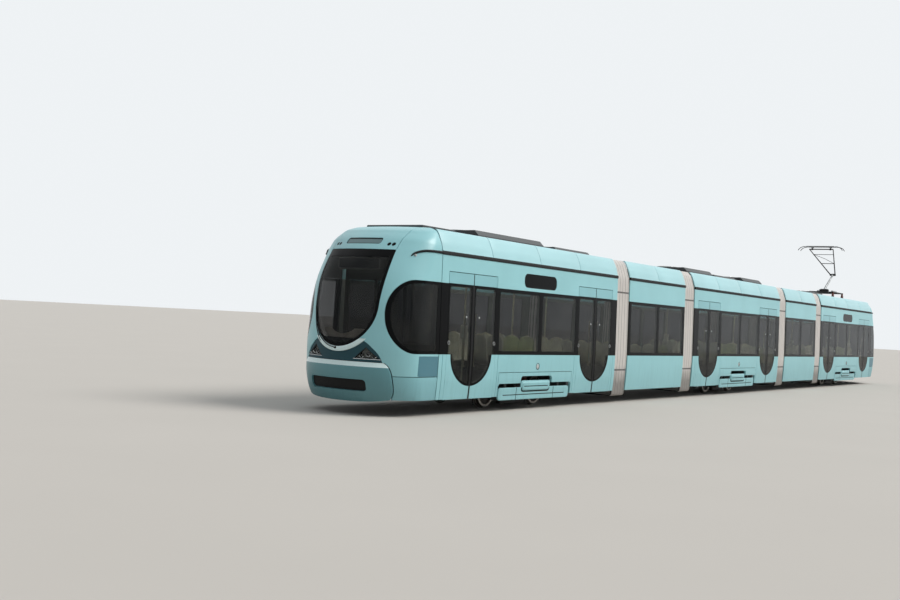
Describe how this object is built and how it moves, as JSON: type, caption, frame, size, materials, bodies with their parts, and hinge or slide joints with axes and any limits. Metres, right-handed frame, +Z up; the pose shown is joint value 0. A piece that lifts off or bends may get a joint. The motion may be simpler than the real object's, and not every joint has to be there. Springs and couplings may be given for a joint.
{
  "type": "articulated low-floor tram",
  "caption": "Long articulated low-floor tram with rounded end cabs, flush dark window band, plug doors along the right side, bellows gangways and a raised pantograph.",
  "frame": {"origin": "on the level of the wheel flanges' lowest points, under the middle of the tram's length and width", "axes": "+X forward to the driving end, +Y to the left side, the side with no doors, +Z up"},
  "size_m": [31.485, 2.302, 5.07],
  "materials": {
    "body_paint": "gloss turquoise paint",
    "dark_trim": "dark trim",
    "tinted_glass": "dark tinted glazing",
    "lamp_glass": "lamp cover",
    "bellows_rubber": "light grey coated fabric",
    "running_gear": "dark grey paint with brake dust",
    "wheel_steel": "rolled steel with bright tread",
    "floor_covering": "speckled floor covering",
    "roof_paint": "turquoise fairings and grey deck",
    "unit_paint": "light grey equipment paint",
    "seat_shell": "cream seat shell",
    "cab_plastic": "grey cab moulding",
    "pantograph_metal": "dark pantograph paint"
  },
  "bodies": {
    "car_1": {"sides_1": "body_paint", "roof_1": "roof_paint", "floor_1": "floor_covering", "glass_1": "tinted_glass", "interior_1": "seat_shell", "doors_1": "body_paint", "roof_units_1": "unit_paint", "bogie_covers_1": "body_paint", "nose_front": "body_paint", "bumper_front": "body_paint", "lamps_front": "lamp_glass", "cab_front": "cab_plastic", "pantograph_base": "pantograph_metal"},
    "car_2": {"sides_2": "body_paint", "roof_2": "roof_paint", "floor_2": "floor_covering", "glass_2": "tinted_glass", "interior_2": "seat_shell", "bellows_12": "bellows_rubber", "bellows_23": "bellows_rubber"},
    "car_3": {"sides_3": "body_paint", "roof_3": "roof_paint", "floor_3": "floor_covering", "glass_3": "tinted_glass", "interior_3": "seat_shell", "doors_3": "body_paint", "roof_units_3": "unit_paint", "bogie_covers_2": "body_paint"},
    "car_4": {"sides_4": "body_paint", "roof_4": "roof_paint", "floor_4": "floor_covering", "glass_4": "tinted_glass", "interior_4": "seat_shell", "bellows_34": "bellows_rubber", "bellows_45": "bellows_rubber"},
    "car_5": {"sides_5": "body_paint", "roof_5": "roof_paint", "floor_5": "floor_covering", "glass_5": "tinted_glass", "interior_5": "seat_shell", "doors_5": "body_paint", "roof_units_5": "unit_paint", "bogie_covers_3": "body_paint", "nose_rear": "body_paint", "bumper_rear": "body_paint", "lamps_rear": "lamp_glass", "cab_rear": "cab_plastic"},
    "bogie_1": {"bogie_frame_1": "running_gear"},
    "wheels_1a": {"wheelset_1a": "wheel_steel"},
    "wheels_1b": {"wheelset_1b": "wheel_steel"},
    "bogie_2": {"bogie_frame_2": "running_gear"},
    "wheels_2a": {"wheelset_2a": "wheel_steel"},
    "wheels_2b": {"wheelset_2b": "wheel_steel"},
    "bogie_3": {"bogie_frame_3": "running_gear"},
    "wheels_3a": {"wheelset_3a": "wheel_steel"},
    "wheels_3b": {"wheelset_3b": "wheel_steel"},
    "pantograph_lower_arm": {"pantograph_lower_arm": "pantograph_metal"},
    "pantograph_upper_arm": {"pantograph_upper_arm": "pantograph_metal"},
    "pantograph_head": {"pantograph_head": "pantograph_metal"}
  },
  "joints": [
    {"name": "articulation_23", "type": "hinge", "parent": "car_3", "child": "car_2", "pos_m": [3.6625, 0, 0.26], "axis": [0, 0, 1], "range_deg": [-20, 20], "deforming": ["bellows_23"]},
    {"name": "articulation_12", "type": "hinge", "parent": "car_2", "child": "car_1", "pos_m": [7.4375, 0, 0.26], "axis": [0, 0, 1], "range_deg": [-20, 20], "deforming": ["bellows_12"]},
    {"name": "articulation_34", "type": "hinge", "parent": "car_3", "child": "car_4", "pos_m": [-3.6625, 0, 0.26], "axis": [0, 0, -1], "range_deg": [-20, 20], "deforming": ["bellows_34"]},
    {"name": "articulation_45", "type": "hinge", "parent": "car_4", "child": "car_5", "pos_m": [-7.4375, 0, 0.26], "axis": [0, 0, -1], "range_deg": [-20, 20], "deforming": ["bellows_45"]},
    {"name": "bogie_yaw_1", "type": "hinge", "parent": "car_1", "child": "bogie_1", "pos_m": [11.08, 0, 0.3], "axis": [0, 0, 1], "range_deg": [-4, 4]},
    {"name": "axle_1a", "type": "hinge", "parent": "bogie_1", "child": "wheels_1a", "pos_m": [11.98, 0, 0.315], "axis": [0, 1, 0], "continuous": true},
    {"name": "axle_1b", "type": "hinge", "parent": "bogie_1", "child": "wheels_1b", "pos_m": [10.18, 0, 0.315], "axis": [0, 1, 0], "continuous": true},
    {"name": "bogie_yaw_2", "type": "hinge", "parent": "car_3", "child": "bogie_2", "pos_m": [0, 0, 0.3], "axis": [0, 0, 1], "range_deg": [-4, 4]},
    {"name": "axle_2a", "type": "hinge", "parent": "bogie_2", "child": "wheels_2a", "pos_m": [0.9, 0, 0.315], "axis": [0, 1, 0], "continuous": true},
    {"name": "axle_2b", "type": "hinge", "parent": "bogie_2", "child": "wheels_2b", "pos_m": [-0.9, 0, 0.315], "axis": [0, 1, 0], "continuous": true},
    {"name": "bogie_yaw_3", "type": "hinge", "parent": "car_5", "child": "bogie_3", "pos_m": [-11.08, 0, 0.3], "axis": [0, 0, -1], "range_deg": [-4, 4]},
    {"name": "axle_3a", "type": "hinge", "parent": "bogie_3", "child": "wheels_3a", "pos_m": [-10.18, 0, 0.315], "axis": [0, 1, 0], "continuous": true},
    {"name": "axle_3b", "type": "hinge", "parent": "bogie_3", "child": "wheels_3b", "pos_m": [-11.98, 0, 0.315], "axis": [0, 1, 0], "continuous": true},
    {"name": "pantograph_lift", "type": "hinge", "parent": "car_1", "child": "pantograph_lower_arm", "pos_m": [11.88, 0, 3.48], "axis": [0, 1, 0], "range_deg": [-18, 28]},
    {"name": "pantograph_knee", "type": "hinge", "parent": "pantograph_lower_arm", "child": "pantograph_upper_arm", "pos_m": [12.94, 0, 4.12], "axis": [0, 1, 0], "range_deg": [-56, 37]},
    {"name": "pantograph_level", "type": "hinge", "parent": "pantograph_upper_arm", "child": "pantograph_head", "pos_m": [11.26, 0, 4.96], "axis": [0, 1, 0], "range_deg": [-18, 28]}
  ],
  "couplings": [
    {"joint": "pantograph_knee", "follows": "pantograph_lift", "ratio": -1.93},
    {"joint": "pantograph_level", "follows": "pantograph_lift", "ratio": 0.93}
  ]
}
